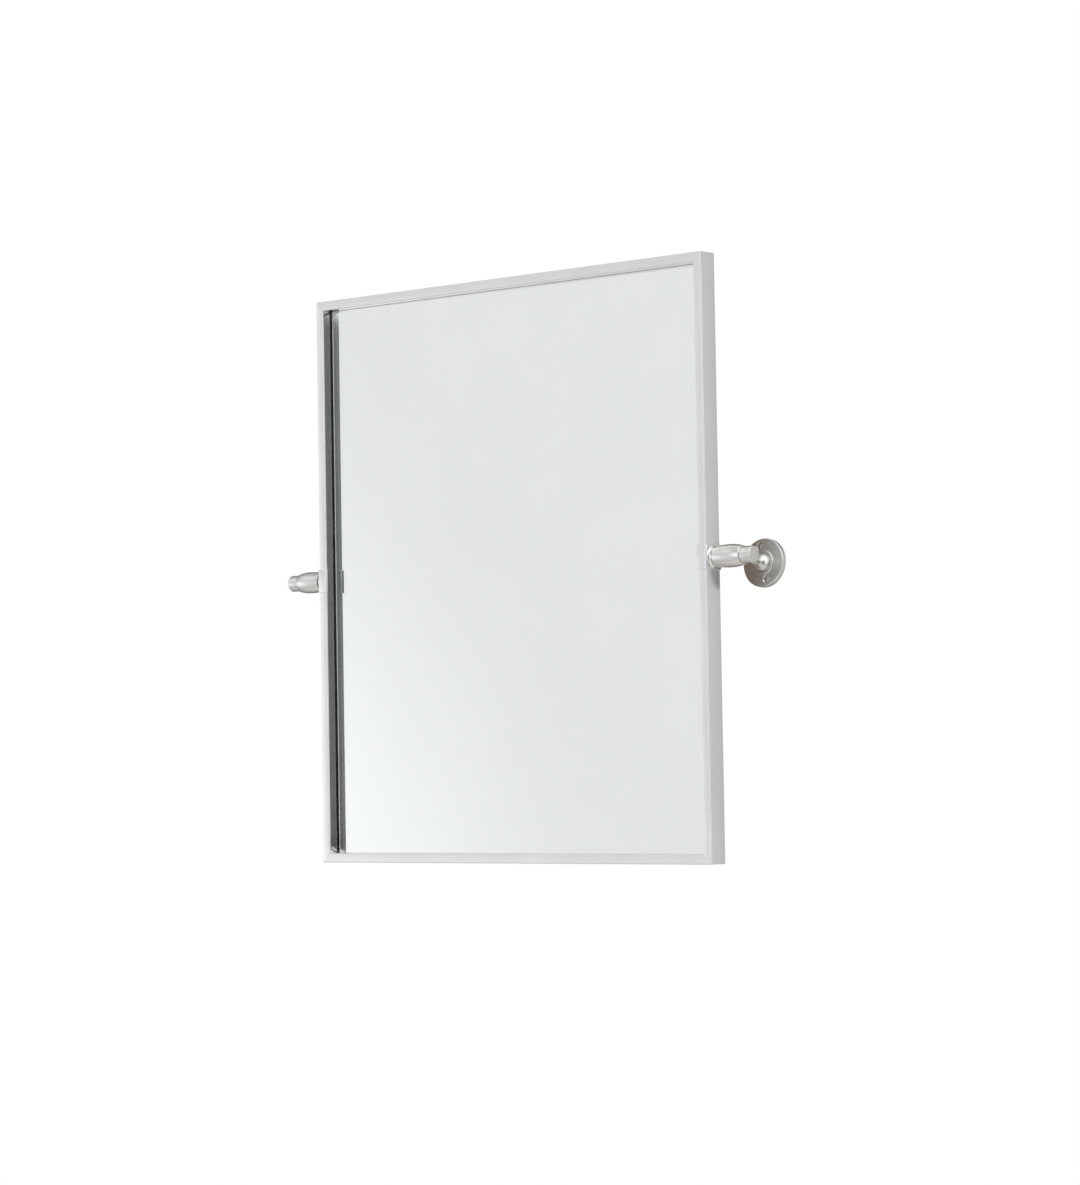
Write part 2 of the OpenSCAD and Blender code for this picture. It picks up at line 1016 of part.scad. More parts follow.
module wall_plate() {
    color("rosybrown")
        difference() {
            on_plate()
                rotate_extrude()
                    plate_outline();
            on_plate() {
                translate([0, 0, -cut_over])
                    cylinder(h = pocket_d + cut_over, r = pocket_r);
                translate([0, 0, -cut_over])
                    cylinder(h = plate_t + cut_over, r = post_hole_r, $fn = 48);
                translate([0, 0, plate_t - dome_seat])
                    cylinder(h = dome_seat + ring_h + cut_over, r = seat_r);
            }
            at_wall_screws() {
                translate([0, 0, -plate_t - cut_over])
                    cylinder(h = plate_t + 2 * cut_over, r = screw_hole_r);
                translate([0, 0, -sink_depth])
                    cylinder(h = sink_depth + slack, r1 = screw_hole_r, r2 = countersink_r + slack);
            }
        }
}

module right_wall_plate() {
    wall_plate();
}

module left_wall_plate() {
    mirror([1, 0, 0])
        wall_plate();
}

// Socket screw that holds the post's dome from behind the plate
module post_screw() {
    on_plate()
        translate([0, 0, pocket_d])
            difference() {
                union() {
                    translate([0, 0, -post_screw_head_h])
                        cylinder(h = post_screw_head_h, r = post_screw_head_r);
                    translate([0, 0, -slack])
                        cylinder(h = plate_t - dome_seat - pocket_d + post_screw_depth, r = post_screw_r);
                }
                translate([0, 0, -post_screw_head_h - cut_over])
                    cylinder(h = post_hex_depth + cut_over, r = post_hex_r, $fn = 6);
            }
}

module post_screws() {
    color("dimgray")
        both_sides()
            post_screw();
}

// Countersunk screws through the plate, with the thread standing out behind it
module wall_screws() {
    color("gainsboro")
        at_wall_screws()
            difference() {
                union() {
                    translate([0, 0, -screw_sink - screw_cone])
                        cylinder(h = screw_cone, r1 = screw_neck_r, r2 = screw_head_r);
                    translate([0, 0, -plate_t - slack])
                        cylinder(h = plate_t - screw_sink, r = screw_neck_r);
                    translate([0, 0, -plate_t - screw_len])
                        cylinder(h = screw_len, r = screw_r);
                    translate([0, 0, -plate_t - screw_len - screw_tip])
                        cylinder(h = screw_tip, r1 = screw_r / 8, r2 = screw_r);
                }
                translate([0, 0, -screw_sink - recess_depth])
                    cross_recess(recess_len, recess_w, 2 * recess_depth);
            }
}

module right_wall_screws() {
    wall_screws();
}

module left_wall_screws() {
    mirror([1, 0, 0])
        wall_screws();
}

top_rail();
bottom_rail();
left_rail();
right_rail();
top_left_corner_key();
top_right_corner_key();
bottom_left_corner_key();
bottom_right_corner_key();
mirror_glass();
silvering();
top_glazing_tape();
bottom_glazing_tape();
left_glazing_tape();
right_glazing_tape();
foam_sheet();
backing_board();
board_clips();
clip_screws();
left_saddle();
right_saddle();
saddle_screws();
left_nut_plate();
right_nut_plate();
left_pivot_stud();
right_pivot_stud();
left_thrust_washer();
right_thrust_washer();
left_spring_washers();
right_spring_washers();
left_lock_nut();
right_lock_nut();
left_friction_washer();
right_friction_washer();
left_bushing();
right_bushing();
left_barrel();
right_barrel();
left_end_cap();
right_end_cap();
cap_set_screws();
left_post();
right_post();
post_screws();
left_wall_plate();
right_wall_plate();
left_wall_screws();
right_wall_screws();
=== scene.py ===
"""Looks of the pivot wall mirror, built round its CAD frame and laid out as a Blender add-on."""

import json
import math

import bmesh
import bpy
import numpy as np
from mathutils import Matrix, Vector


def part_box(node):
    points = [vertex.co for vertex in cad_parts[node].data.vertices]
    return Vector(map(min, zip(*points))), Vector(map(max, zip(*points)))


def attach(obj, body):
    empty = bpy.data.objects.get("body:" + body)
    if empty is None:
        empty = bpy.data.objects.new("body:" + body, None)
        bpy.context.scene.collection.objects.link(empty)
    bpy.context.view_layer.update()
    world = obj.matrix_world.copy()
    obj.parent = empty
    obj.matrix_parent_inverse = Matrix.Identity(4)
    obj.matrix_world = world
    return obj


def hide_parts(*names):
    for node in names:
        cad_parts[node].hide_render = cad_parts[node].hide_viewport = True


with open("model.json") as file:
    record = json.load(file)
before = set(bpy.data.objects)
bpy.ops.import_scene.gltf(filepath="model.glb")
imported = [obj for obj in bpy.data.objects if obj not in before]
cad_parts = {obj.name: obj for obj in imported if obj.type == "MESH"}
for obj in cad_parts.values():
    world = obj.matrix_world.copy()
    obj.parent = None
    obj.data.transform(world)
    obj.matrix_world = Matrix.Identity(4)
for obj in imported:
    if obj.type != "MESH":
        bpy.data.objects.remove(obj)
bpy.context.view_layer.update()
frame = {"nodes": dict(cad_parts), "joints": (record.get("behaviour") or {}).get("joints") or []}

bl_info = {
    "name": "Pivot Wall Mirror",
    "version": (1, 0, 0),
    "blender": (4, 5, 0),
    "location": "View3D > Sidebar > Mirror",
    "description": "Builds the finishes and the finer pieces of a tilting wall mirror",
    "category": "Object",
}

MM = 0.001
X, Y, Z = range(3)
# Points that lie closer than this are one
MERGE = 0.0001 * MM

# The tilt joint's range is even about upright, so its middle gives the lean at rest
LEAN = -math.radians(sum(frame["joints"][0]["range_deg"]) / 2)
COS, SIN = math.cos(LEAN), math.sin(LEAN)
TURN = np.array([[1, 0, 0], [0, COS, -SIN], [0, SIN, COS]])


def box(node):
    """Lowest and highest corner of a CAD node, as arrays in metres."""
    low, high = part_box(node)
    return np.array(low), np.array(high)


def upright_box(node):
    """The same for a node of the mirror, with its lean taken out."""
    mesh = frame["nodes"][node].data
    points = np.empty(len(mesh.vertices) * 3, np.float32)
    mesh.vertices.foreach_get("co", points)
    points = points.reshape(-1, 3) @ TURN
    return points.min(0), points.max(0)


RAIL_LO, RAIL_HI = upright_box("right_rail")
TOP_LO, TOP_HI = upright_box("top_rail")
SADDLE_LO, SADDLE_HI = upright_box("right_saddle")
TAPE_LO, TAPE_HI = upright_box("right_glazing_tape")
GLASS_LO, GLASS_HI = upright_box("mirror_glass")
BOARD_LO, BOARD_HI = upright_box("backing_board")
BARREL_LO, BARREL_HI = box("right_barrel")
CAP_LO, CAP_HI = box("right_end_cap")
PLATE_LO, PLATE_HI = box("right_wall_plate")
SCREW_LO, SCREW_HI = box("right_wall_screws")
HALF_W, HALF_H = RAIL_HI[X], TOP_HI[Z]
POST_X = (PLATE_LO[X] + PLATE_HI[X]) / 2
# The plate's raised ring stands so far in front of its face
RING_PROUD = 1.2 * MM
PLATE_FACE = PLATE_LO[Y] + RING_PROUD
WALL_Y = PLATE_HI[Y]


# ---- Properties ----


def length(name, text, value):
    """A length that a user may change, in metres."""
    return bpy.props.FloatProperty(name=name, description=text, default=value, min=0.0, unit="LENGTH")


def colour(name, text, value):
    """A colour that a user may change."""
    return bpy.props.FloatVectorProperty(
        name=name, description=text, default=value, size=3, min=0.0, max=1.0, subtype="COLOR"
    )


def strength(name, text, value):
    """A strength that a user may change."""
    return bpy.props.FloatProperty(name=name, description=text, default=value, min=0.0)


class MirrorSizes(bpy.types.PropertyGroup):
    """Sizes of the finer shapes that the CAD solids leave plain."""

    leg_width: length("Rear leg", "Width of the rail behind the glass step", 6.5 * MM)
    lip_radius: length("Lip edge", "Radius on the two front edges of a rail", 1.1 * MM)
    inner_edge: length("Inner edge", "Radius on the lip's edge next to the glass", 0.8 * MM)
    rear_radius: length("Rear edge", "Radius on the two rear edges of a rail", 0.4 * MM)
    mitre_edge: length("Mitre edge", "Chamfer that makes the mitre line", 0.12 * MM)
    strap: length("Strap thickness", "Thickness of a saddle's strap", 1.5 * MM)
    strap_bend: length("Strap bend", "Outer radius of the strap's bends", 2.0 * MM)
    strap_edge: length("Strap edge", "Radius on the strap's cut edges", 0.4 * MM)
    strap_return: length("Strap return", "How far the strap returns into the recess", 4.5 * MM)
    neck_foot: length("Neck foot", "Radius of the neck where it meets the strap", 11.5 * MM)
    neck_end: length("Neck end", "Radius of the neck's end face", 9.7 * MM)
    barrel_peak: length("Barrel peak", "Distance of the widest point from the inner end", 18.4 * MM)
    barrel_max: length("Barrel radius", "Radius at the widest point", 11.6 * MM)
    barrel_inner: length("Barrel inner end", "Radius at the inner end", 10.4 * MM)
    barrel_outer: length("Barrel outer end", "Radius at the outer end", 9.7 * MM)
    barrel_rim: length("Barrel rim", "Radius on the barrel's two rims", 0.8 * MM)
    cap_edge: length("Cap edge", "Radius on the end cap's outer edge", 1.2 * MM)
    cap_groove: length("Cap groove", "Width of the groove between the barrel and its cap", 0.45 * MM)
    tape_set: length("Tape set-in", "How far the tape lies back from the lip's edge", 0.9 * MM)
    dome: length("Dome", "Radius of the dome at the post's foot", 9.2 * MM)
    post: length("Post", "Radius of the post", 3.9 * MM)
    collar: length("Collar", "Radius of the collar where the post meets the barrel", 6.6 * MM)
    collar_end: length("Collar end", "Distance of the collar's edge behind the tilt axis", 13.6 * MM)
    post_cove: length("Post cove", "Radius of the hollow between post and dome", 2.0 * MM)
    screw_head: length("Screw head", "Radius of a wall screw's head", 3.5 * MM)
    screw_sink: length("Screw sink", "Depth of a wall screw's head below the plate's face", 0.63 * MM)
    screw_pitch: length("Thread pitch", "Pitch of a wall screw's thread", 1.5 * MM)


class MirrorFinishes(bpy.types.PropertyGroup):
    """Colours of the finishes."""

    frame_nickel: colour("Frame", "Satin nickel on the rails", (0.765, 0.765, 0.76))
    fitting_nickel: colour("Fittings", "Satin nickel on the pivots and plates", (0.705, 0.697, 0.68))
    screw_nickel: colour("Screw nickel", "Bright nickel of the wall screws", (0.80, 0.79, 0.775))
    zinc: colour("Zinc", "Zinc plate on clips, screws and nuts", (0.62, 0.64, 0.67))
    blued: colour("Blued steel", "Spring washers and socket screws", (0.10, 0.11, 0.13))
    glass: colour("Glass", "Tint of the float glass", (0.975, 0.992, 0.985))
    silver: colour("Silver", "Silvering behind the glass", (0.93, 0.935, 0.93))
    tape: colour("Tape", "Black glazing tape", (0.012, 0.012, 0.012))
    board: colour("Board", "Pressed fibre backing board", (0.36, 0.285, 0.22))
    foam: colour("Foam", "White foam sheet", (0.80, 0.80, 0.78))
    polymer: colour("Polymer", "Bushings and friction washers", (0.035, 0.033, 0.032))


class MirrorStudio(bpy.types.PropertyGroup):
    """Strengths of the studio light."""

    room: strength("Room", "Light of the plain room all round", 0.62)
    front: strength("Front", "Extra light from the wide screen in front on the left", 0.235)
    low: strength("Low", "Extra light low on the left", 0.55)
    high: strength("High", "Extra light from high on the left", 0.35)
    top: strength("Top", "Extra light from above", 0.70)
    right: strength("Right", "Extra light from the screen on the right", 0.95)
    back: strength("Back", "Extra light from behind on the right", 0.10)
    camera: strength("Camera", "Share of the light left round the camera", 0.12)
    behind: strength("Behind", "Share of the light left behind on the left", 0.40)
    ground: strength("Ground", "Extra light from the pale ground", 0.22)
    facing: strength("Facing", "Extra light straight in front", 0.70)


SIZES = "mirror_sizes"
FINISHES = "mirror_finishes"
STUDIO = "mirror_studio"


def settings():
    """The sizes and the colours that are set in the scene."""
    return getattr(bpy.context.scene, SIZES), getattr(bpy.context.scene, FINISHES)


# ---- Shapes ----


def rounded(corners, radii, steps=6, closed=True):
    """A line through the corners, where an arc tangent to both sides takes each corner's place.

    The arc starts radius / tan(half the corner's angle) from the corner, along either side, and
    takes up less than half of the shorter side.
    """
    tiny, most = 1e-9, 0.49
    p = np.array(corners, float)
    r = np.array(radii, float)
    if not closed:
        r[[0, -1]] = 0.0
    a, b = np.roll(p, 1, 0) - p, np.roll(p, -1, 0) - p
    la = np.maximum(np.linalg.norm(a, axis=1), tiny**2)
    lb = np.maximum(np.linalg.norm(b, axis=1), tiny**2)
    ua, ub = a / la[:, None], b / lb[:, None]
    half = np.arccos(np.clip((ua * ub).sum(1), -1, 1)) / 2
    tan = np.maximum(np.tan(half), tiny)
    cut = np.minimum(r / tan, most * np.minimum(la, lb))
    r = cut * tan
    mid = ua + ub
    mid = mid / np.maximum(np.linalg.norm(mid, axis=1), tiny)[:, None]
    centre = p + mid * (r / np.maximum(np.sin(half), tiny))[:, None]
    start, end = p + ua * cut[:, None] - centre, p + ub * cut[:, None] - centre
    a0 = np.arctan2(start[:, 1], start[:, 0])
    turn = np.arctan2(end[:, 1], end[:, 0]) - a0
    turn = (turn + np.pi) % (2 * np.pi) - np.pi
    ang = a0[:, None] + turn[:, None] * np.linspace(0, 1, steps + 1)
    arc = centre[:, None] + r[:, None, None] * np.stack([np.cos(ang), np.sin(ang)], -1)
    arc = np.where((r > tiny)[:, None, None], arc, p[:, None])
    line = arc.reshape(-1, 2)
    apart = np.linalg.norm(line - np.roll(line, 1, 0), axis=1) > 10 * tiny
    if not closed:
        apart[0] = True
    return line[apart]


def arc_radius(run, drop):
    """Radius of an arc that is level at one end and drops over its run: (run^2 + drop^2) / 2 drop."""
    return (run**2 + drop**2) / (2 * drop)


def bulge(x0, x1, peak, r0, r_max, r1, steps=40):
    """Profile of a swelling barrel: an arc either side of the peak, level with the axis at the peak."""
    x = np.linspace(x0, x1, steps)
    big = arc_radius(np.where(x < peak, peak - x0, x1 - peak), np.where(x < peak, r_max - r0, r_max - r1))
    return np.stack([r_max - big + np.sqrt(big**2 - (x - peak) ** 2), x], -1)


def turned(profile, origin, axis, steps=96):
    """Turns a profile of (radius, distance) about an axis: origin + axis h + radius (cos a, sin a)."""
    axis = np.array(axis, float)
    e1 = np.cross(axis, (0.0, 0.0, 1.0))
    e2 = np.cross(axis, e1)
    a = np.linspace(0, 2 * np.pi, steps, endpoint=False)
    round_dir = np.cos(a)[:, None] * e1 + np.sin(a)[:, None] * e2
    profile = np.array(profile, float)
    return np.array(origin) + profile[:, None, 1:] * axis + profile[:, None, :1] * round_dir


def left_normals(steps):
    """Unit vectors to the left of some steps along a line."""
    d = steps / np.linalg.norm(steps, axis=1)[:, None]
    return np.stack([-d[:, 1], d[:, 0]], -1)


def inset(line, amount):
    """Moves a closed line inwards by an amount, square to the step between each point's neighbours."""
    n = left_normals(np.roll(line, -1, 0) - np.roll(line, 1, 0))
    area = (line[:, 0] * np.roll(line[:, 1], -1) - line[:, 1] * np.roll(line[:, 0], -1)).sum()
    return line + n * amount * np.sign(area)


def bent_strip(line, thickness, width, edge):
    """A strip along a line in the XY plane: line + normal q, with (q, z) a rounded rectangle.

    Its first and last ring are smaller by most of the edge radius, so its ends are eased too.
    """
    end_ease = 0.7
    t, w = thickness / 2, width / 2
    section = rounded([(-t, -w), (t, -w), (t, w), (-t, w)], [edge] * 4, steps=4)
    along = np.concatenate([[0], np.cumsum(np.linalg.norm(np.diff(line, axis=0), axis=1))])
    where = np.unique(np.concatenate([along, [edge, along[-1] - edge]]))
    fine = np.stack([np.interp(where, along, line[:, 0]), np.interp(where, along, line[:, 1])], -1)
    n = left_normals(np.gradient(fine, axis=0))
    ring = np.repeat(section[None], len(fine), 0)
    ring[[0, -1]] = inset(section, edge * end_ease)
    xy = fine[:, None] + n[:, None] * ring[:, :, :1]
    return np.concatenate([xy, ring[:, :, 1:]], -1)


def grid_faces(n, m, loop_u, loop_v):
    """Quads that join an n by m grid of points."""
    ids = np.arange(n * m).reshape(n, m)
    if loop_u:
        ids = np.vstack([ids, ids[:1]])
    if loop_v:
        ids = np.hstack([ids, ids[:, :1]])
    return np.stack([ids[:-1, :-1], ids[1:, :-1], ids[1:, 1:], ids[:-1, 1:]], -1).reshape(-1, 4)


def bar(points):
    """Closed shell of rings in a row, with both ends capped."""
    return points, False, True, True


def ring_shell(points):
    """Closed shell of rings whose last meets the first, as round a bore."""
    return points, True, True, False


def solid_turning(points):
    """Closed shell of rings that start and end on the axis."""
    return points, False, True, False


def make_piece(name, shells, body, material, replaced, sharp=32, smooth=True):
    """Makes one object from closed shells: (points, loop_u, loop_v, capped ends).

    Shells of the mirror are worked out upright, and lean here: (x, y cos - z sin, y sin + z cos).
    """
    verts, faces, start = [], [], 0
    for points, loop_u, loop_v, capped in shells:
        n, m = points.shape[:2]
        verts.append(points.reshape(-1, 3))
        faces += (grid_faces(n, m, loop_u, loop_v) + start).tolist()
        if capped:
            faces.append(list(range(start, start + m)))
            faces.append(list(range(start + (n - 1) * m, start + n * m)))
        start += n * m
    mesh = bpy.data.meshes.new(name)
    points = np.concatenate(verts)
    if body == "mirror":
        points = points @ TURN.T
    mesh.from_pydata(points, [], faces)
    bm = bmesh.new()
    bm.from_mesh(mesh)
    bmesh.ops.remove_doubles(bm, verts=bm.verts, dist=MERGE)
    bmesh.ops.dissolve_degenerate(bm, dist=MERGE, edges=bm.edges)
    bmesh.ops.recalc_face_normals(bm, faces=bm.faces)
    bm.to_mesh(mesh)
    bm.free()
    if smooth:
        mesh.shade_smooth()
        mesh.set_sharp_from_angle(angle=math.radians(sharp))
    obj = bpy.data.objects.new(name, mesh)
    bpy.context.scene.collection.objects.link(obj)
    mesh.materials.append(material)
    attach(obj, body)
    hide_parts(*replaced)


def make_pair(piece, node, shells, body, material, sharp=32):
    """Makes a right piece, and on the left its mirror image in the plane x = 0, each for its own node."""
    flipped = [(points * np.array([-1.0, 1.0, 1.0]), *rest) for points, *rest in shells]
    for side, shape in (("right_", shells), ("left_", flipped)):
        make_piece(side + piece, shape, body, material, [side + node], sharp)


def finish_nodes(material, *nodes):
    """Gives CAD nodes a material."""
    for name in nodes:
        mesh = frame["nodes"][name].data
        mesh.materials.clear()
        mesh.materials.append(material)


def pair(name):
    """The two nodes of a left and right pair."""
    return "left_" + name, "right_" + name


def corner_keys(level):
    """The two corner keys at the top or the bottom."""
    return level + "_left_corner_key", level + "_right_corner_key"


# ---- Materials ----

# Sockets of a Mix node that mixes colours: the share and the two colours go in, the mix comes out
MIX_SHARE, MIX_COLOURS, MIX_OUT = 0, slice(6, 8), 2


class Nodes:
    """Short ways to add and join the nodes of a material or a world."""

    def __init__(self, owner, output):
        owner.use_nodes = True
        self.tree = owner.node_tree
        self.tree.nodes.clear()
        self.out = self.add(output)

    def add(self, kind, **values):
        node = self.tree.nodes.new(kind)
        for key, value in values.items():
            setattr(node, key, value)
        return node

    def join(self, a, b):
        self.tree.links.new(a, b)

    def feed(self, socket, value):
        """Links another node's socket, or sets a plain value on the socket itself."""
        if hasattr(value, "is_linked"):
            self.join(value, socket)
        else:
            socket.default_value = value

    def noise(self, vector, detail=3.0, rough=0.5):
        node = self.add("ShaderNodeTexNoise")
        for key, value in (("Scale", 1.0), ("Detail", detail), ("Roughness", rough), ("Vector", vector)):
            self.feed(node.inputs[key], value)
        return node.outputs["Fac"]

    def remap(self, value, low, high, start=0.3, end=0.7, kind="LINEAR"):
        """Takes start to low and end to high; a noise lies nearly all between 0.3 and 0.7."""
        node = self.add("ShaderNodeMapRange", clamp=True, interpolation_type=kind)
        spans = (("From Min", start), ("From Max", end), ("To Min", low), ("To Max", high))
        for key, number in (*spans, ("Value", value)):
            self.feed(node.inputs[key], number)
        return node.outputs["Result"]

    def math(self, operation, *values):
        node = self.add("ShaderNodeMath", operation=operation)
        for socket, value in zip(node.inputs, values):
            self.feed(socket, value)
        return node.outputs["Value"]

    def vector(self, operation, *values, output="Vector"):
        node = self.add("ShaderNodeVectorMath", operation=operation)
        for socket, value in zip(node.inputs, values):
            self.feed(socket, value)
        return node.outputs[output]

    def blend(self, share, *colours):
        node = self.add("ShaderNodeMix", data_type="RGBA")
        self.join(share, node.inputs[MIX_SHARE])
        for socket, value in zip(node.inputs[MIX_COLOURS], colours):
            self.feed(socket, value if hasattr(value, "is_linked") else (*value, 1))
        return node.outputs[MIX_OUT]

    def white_to_camera(self, shader, glow_kind):
        """Plain white where the camera looks straight at it, and the shader for all other rays."""
        glow = self.add(glow_kind)
        glow.inputs["Color"].default_value = (1, 1, 1, 1)
        glow.inputs["Strength"].default_value = 1.0
        mix = self.add("ShaderNodeMixShader")
        path = self.add("ShaderNodeLightPath")
        parts = path.outputs["Is Camera Ray"], shader.outputs[0], glow.outputs[0]
        for part, socket in zip(parts, mix.inputs):
            self.join(part, socket)
        self.join(mix.outputs[0], self.out.inputs["Surface"])


class Finish(Nodes):
    """Nodes of a material, on Object coordinates that are turned upright for a leaning piece."""

    def __init__(self, name, leaning=False):
        self.material = bpy.data.materials.new(name)
        super().__init__(self.material, "ShaderNodeOutputMaterial")
        self.coords = self.add("ShaderNodeTexCoord").outputs["Object"]
        if leaning:
            upright = self.add("ShaderNodeMapping", vector_type="POINT")
            upright.inputs["Rotation"].default_value = (-LEAN, 0, 0)
            self.join(self.coords, upright.inputs["Vector"])
            self.coords = upright.outputs["Vector"]

    def grain(self, *scale, detail=3.0, rough=0.5):
        """Noise with so many features to the metre, on every axis alike or on X, Y and Z in turn."""
        node = self.add("ShaderNodeMapping", vector_type="POINT")
        node.inputs["Scale"].default_value = scale if len(scale) == 3 else scale * 3
        self.join(self.coords, node.inputs["Vector"])
        return self.noise(node.outputs["Vector"], detail, rough)

    def tone(self, pattern, rgb, dark, light):
        """A colour that a pattern makes darker and lighter."""
        return self.blend(self.remap(pattern, 0, 1), shade(rgb, dark), shade(rgb, light))

    def spread(self, pattern, middle, amount):
        """A value that a pattern takes so far below and above its middle."""
        return self.remap(pattern, middle - amount, middle + amount)

    def bump(self, height, strength, distance):
        node = self.add("ShaderNodeBump")
        for key, value in (("Strength", strength), ("Distance", distance), ("Height", height)):
            self.feed(node.inputs[key], value)
        return node.outputs["Normal"]

    def surface(self, base, rough, normal=None, **values):
        """Principled surface: links the patterns, and sets plain values on the shader's own sockets."""
        shader = self.add("ShaderNodeBsdfPrincipled")
        for key, value in values.items():
            shader.inputs[key.replace("_", " ")].default_value = value
        self.join(base, shader.inputs["Base Color"])
        self.join(rough, shader.inputs["Roughness"])
        if normal:
            self.join(normal, shader.inputs["Normal"])
        self.join(shader.outputs["BSDF"], self.out.inputs["Surface"])
        return self.material

    def satin(self, rgb, rough, dark, lines, clouds):
        """Satin metal: fine lines and slow clouds in its sheen, clouds in its tone, lines in its relief."""
        sheen = self.math("ADD", self.spread(lines, 0, 0.02), self.spread(clouds, rough, 0.015))
        relief = self.bump(lines, 0.06, 0.01 * MM)
        return self.surface(self.tone(clouds, rgb, dark, 1.02), sheen, relief, Metallic=1.0)


def shade(rgb, k):
    """A colour made lighter or darker."""
    return tuple(min(1.0, c * k) for c in rgb)


def straight_nickel(name, rgb, rough, along):
    """Satin nickel with fine lines along one axis of the mirror, faint clouds and a softly worn sheen."""
    n = Finish(name, leaning=True)
    lines_across, lines_along = 1500.0, 18.0
    scale = [lines_along if axis == along else lines_across for axis in (X, Y, Z)]
    lines = n.grain(*scale, detail=4.0, rough=0.6)
    return n.satin(rgb, rough, 0.965, lines, n.grain(16.0, detail=4.0))


def turned_nickel(name, rgb, rough, about_x=True):
    """Satin nickel with fine lathe rings, about the tilt axis, or round the middle of a wall plate.

    The distance from a plate's middle is the length of (|x| - the post's x, z), on either side.
    """
    n = Finish(name)
    clouds = n.grain(60.0, detail=4.0)
    rings_per_metre = 2600.0
    if about_x:
        rings = n.grain(rings_per_metre, 26.0, 26.0, detail=4.0, rough=0.6)
    else:
        flat = n.vector("MULTIPLY", n.vector("ABSOLUTE", n.coords), (1.0, 0.0, 1.0))
        distance = n.vector("LENGTH", n.vector("SUBTRACT", flat, (POST_X, 0.0, 0.0)), output="Value")
        reach = n.add("ShaderNodeCombineXYZ")
        n.join(n.math("MULTIPLY", distance, rings_per_metre), reach.inputs["X"])
        rings = n.noise(reach.outputs["Vector"], detail=4.0, rough=0.6)
    return n.satin(rgb, rough, 0.96, rings, clouds)


def plated_steel(name, rgb, rough, spangle=500.0):
    """Zinc plate, blued steel or plated castings: fine spangle, small pits and a cloudy sheen."""
    n = Finish(name)
    grain = n.grain(spangle, detail=5.0, rough=0.65)
    clouds = n.grain(90.0)
    sheen = n.math("ADD", n.spread(grain, 0, 0.06), n.spread(clouds, rough, 0.05))
    return n.surface(n.tone(clouds, rgb, 0.88, 1.06), sheen, n.bump(grain, 0.15, 0.02 * MM), Metallic=1.0)


def cut_aluminium(name):
    """Sawn aluminium of the corner keys, with saw lines across Y."""
    n = Finish(name)
    lines = n.grain(220.0, 2200.0, 220.0)
    base = n.blend(n.remap(lines, 0, 1), (0.60, 0.61, 0.62), (0.70, 0.71, 0.72))
    return n.surface(base, n.remap(lines, 0.28, 0.45), n.bump(lines, 0.3, 0.03 * MM), Metallic=1.0)


def float_glass(name, tint):
    """Clear float glass with the faintest ream in its surface."""
    n = Finish(name)
    ream = n.grain(9.0, detail=1.0)
    base = n.blend(n.remap(ream, 0, 1), tint, shade(tint, 1.01))
    return n.surface(base, n.remap(ream, 0.0, 0.004), Transmission_Weight=1.0, IOR=1.52)


def silvering(name, rgb):
    """Silver behind the glass, all but flawless, with a faint cloud."""
    n = Finish(name)
    clouds = n.grain(14.0)
    base = n.blend(n.remap(clouds, 0, 1), shade(rgb, 0.992), rgb)
    return n.surface(base, n.remap(clouds, 0.0, 0.006), Metallic=1.0)


def pressed_board(name, rgb):
    """Hardboard: matted fibres over faint clouds of brown, and the press screen's fine weave."""
    n = Finish(name)
    fibre = n.grain(420.0, 420.0, 1300.0, detail=8.0, rough=0.7)
    flecks = n.grain(1300.0, 420.0, 420.0, detail=6.0, rough=0.75)
    mixed = n.math("ADD", n.math("MULTIPLY", fibre, 0.5), n.math("MULTIPLY", flecks, 0.5))
    cloud_share = 0.08
    clouds = n.math("MULTIPLY", n.grain(22.0, detail=5.0), cloud_share)
    tone = n.math("ADD", n.math("MULTIPLY", mixed, 1 - cloud_share), clouds)
    base = n.blend(n.remap(tone, 0, 1, 0.36, 0.62), shade(rgb, 0.55), shade(rgb, 1.55))
    cell = n.add("ShaderNodeTexVoronoi", feature="F1")
    screen = n.vector("MULTIPLY", n.coords, (900.0, 900.0, 900.0))
    for key, value in (("Scale", 1.0), ("Randomness", 0.25), ("Vector", screen)):
        n.feed(cell.inputs[key], value)
    height = n.math("ADD", n.math("MULTIPLY", cell.outputs["Distance"], 0.4), mixed)
    return n.surface(base, n.remap(mixed, 0.62, 0.85), n.bump(height, 0.5, 0.1 * MM))


def matt_sheet(name, rgb, grain, rough):
    """Tape, foam or polymer: fine grain in the surface, with a slight change of tone."""
    n = Finish(name)
    fine = n.grain(grain, detail=5.0, rough=0.6)
    base = n.tone(n.grain(60.0, detail=2.0), rgb, 0.8, 1.15)
    return n.surface(base, n.spread(fine, rough, 0.08), n.bump(fine, 0.25, 0.04 * MM))


# ---- Operators ----


